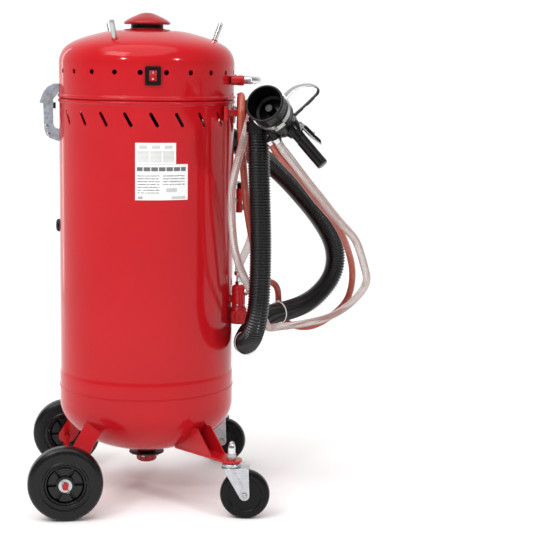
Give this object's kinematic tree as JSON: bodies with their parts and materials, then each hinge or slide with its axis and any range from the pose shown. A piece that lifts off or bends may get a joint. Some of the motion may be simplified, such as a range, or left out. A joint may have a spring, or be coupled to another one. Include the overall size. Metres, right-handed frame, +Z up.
{
  "type": "mobile vacuum recovery blaster",
  "caption": "Upright drum on wheels and casters with a hinged motor lid, mixing valve, hose hanger and a hooded blasting gun on corrugated, clear and air hoses.",
  "frame": {"origin": "centre of the footprint on the floor, measured without the hoses", "axes": "+Z up; +X from the fixed wheels and lid hinge towards the casters, lid handle and gun; +Y away from the side that carries the label and the switch"},
  "size_m": [0.739, 0.5594, 1.005],
  "materials": {
    "red_enamel": "gloss red enamel",
    "black_part": "satin black",
    "black_rubber": "matt",
    "tyre_rubber": "matt",
    "zinc": "zinc plate",
    "steel": "plain steel",
    "chrome": "polished",
    "red_plastic": "gloss",
    "label_film": "printed film",
    "filter_media": "pleated",
    "clear_hose": "clear vinyl with a spiral",
    "brick_hose": "satin"
  },
  "bodies": {
    "frame": {"drum_shell": "red_enamel", "lower_head": "red_enamel", "hopper_cone": "zinc", "drain_flange": "steel", "wheel_bracket_near": "red_enamel", "wheel_bracket_far": "red_enamel", "axle": "red_enamel", "caster_bracket_near": "red_enamel", "caster_bracket_far": "red_enamel", "caster_stem_near": "steel", "caster_stem_far": "steel", "hinge_base": "zinc", "hinge_bolt": "steel", "hinge_bumper": "black_rubber", "latch_base": "zinc", "hose_inlet": "black_part", "rating_label": "label_film", "side_plug": "black_part", "mixing_valve": "red_enamel", "valve_fitting": "chrome", "air_valve": "red_enamel", "air_outlet": "steel", "hose_hanger": "red_enamel", "gun_cup": "black_rubber", "gun_clamp": "steel", "gun_body": "black_part", "gun_loop": "chrome", "vacuum_hose": "black_rubber", "abrasive_hose": "clear_hose", "air_hose": "brick_hose", "air_feed_hose": "brick_hose"},
    "lid": {"lid_shell": "red_enamel", "switch_bezel": "black_part", "exhaust_neck": "black_part", "exhaust_cap": "red_plastic", "lid_pin_1": "steel", "lid_pin_2": "steel", "lid_pin_3": "steel", "lid_handle": "chrome", "motor_deck": "zinc", "suction_motor": "black_part", "filter_cartridge": "filter_media", "hinge_arm": "zinc"},
    "rocker": {"switch_rocker": "red_plastic"},
    "latch_lever": {"latch_lever": "black_part"},
    "latch_hook": {"latch_hook": "chrome"},
    "wheel_near": {"tyre_near": "tyre_rubber", "rim_near": "black_part"},
    "wheel_far": {"tyre_far": "tyre_rubber", "rim_far": "black_part"},
    "swivel_near": {"caster_fork_near": "zinc", "caster_bolt_near": "steel"},
    "swivel_far": {"caster_fork_far": "zinc", "caster_bolt_far": "steel"},
    "roller_near": {"caster_wheel_near": "black_rubber"},
    "roller_far": {"caster_wheel_far": "black_rubber"},
    "tap": {"air_tap": "black_part"},
    "sleeve": {"mixing_sleeve": "red_enamel"},
    "trigger": {"gun_trigger": "zinc"},
    "cap": {"drain_cap": "red_plastic"}
  },
  "joints": [
    {"name": "lid_hinge", "type": "hinge", "parent": "frame", "child": "lid", "pos_m": [-0.24816, 0.03938, 0.8305], "axis": [0, -1, 0], "range_deg": [0, 95]},
    {"name": "switch_rock", "type": "hinge", "parent": "lid", "child": "rocker", "pos_m": [-0.04269, -0.14209, 0.8793], "axis": [0.9998, 0.0175, 0], "range_deg": [-10, 0]},
    {"name": "latch_pull", "type": "hinge", "parent": "frame", "child": "latch_lever", "pos_m": [0.14273, 0.01622, 0.806], "axis": [-0.1219, -0.9925, 0], "range_deg": [0, 100]},
    {"name": "hook_swing", "type": "hinge", "parent": "latch_lever", "child": "latch_hook", "pos_m": [0.14819, 0.01555, 0.796], "axis": [0.1219, 0.9925, 0], "range_deg": [0, 120]},
    {"name": "wheel_near_spin", "type": "hinge", "parent": "frame", "child": "wheel_near", "pos_m": [-0.21586, -0.16912, 0.075], "axis": [0, 1, 0], "continuous": true},
    {"name": "wheel_far_spin", "type": "hinge", "parent": "frame", "child": "wheel_far", "pos_m": [-0.21586, 0.24788, 0.075], "axis": [0, 1, 0], "continuous": true},
    {"name": "caster_near_swivel", "type": "hinge", "parent": "frame", "child": "swivel_near", "pos_m": [0.11414, -0.17962, 0.1036], "axis": [0, 0, 1], "continuous": true},
    {"name": "caster_far_swivel", "type": "hinge", "parent": "frame", "child": "swivel_far", "pos_m": [0.11414, 0.25838, 0.1036], "axis": [0, 0, 1], "continuous": true},
    {"name": "caster_near_spin", "type": "hinge", "parent": "swivel_near", "child": "roller_near", "pos_m": [0.14123, -0.1844, 0.05], "axis": [0.1736, 0.9848, 0], "continuous": true},
    {"name": "caster_far_spin", "type": "hinge", "parent": "swivel_far", "child": "roller_far", "pos_m": [0.13999, 0.24897, 0.05], "axis": [0.342, 0.9397, 0], "continuous": true},
    {"name": "air_tap_turn", "type": "hinge", "parent": "frame", "child": "tap", "pos_m": [0.14764, 0.03938, 0.6448], "axis": [0, 0, -1], "range_deg": [0, 90]},
    {"name": "mixing_turn", "type": "hinge", "parent": "frame", "child": "sleeve", "pos_m": [0.14114, -0.02662, 0.369], "axis": [0, 0, 1], "range_deg": [0, 270]},
    {"name": "trigger_squeeze", "type": "hinge", "parent": "frame", "child": "trigger", "pos_m": [0.24364, -0.19436, 0.78526], "axis": [-0.19, -0.9353, 0.2984], "range_deg": [-10, 0], "stiffness_Nm_per_rad": 0.5, "springref_deg": 8.59},
    {"name": "drain_pull", "type": "slide", "parent": "frame", "child": "cap", "axis": [0, 0, -1], "range_m": [0, 0.03]}
  ],
  "couplings": [
    {"joint": "hook_swing", "follows": "latch_pull", "ratio": 1.15}
  ]
}
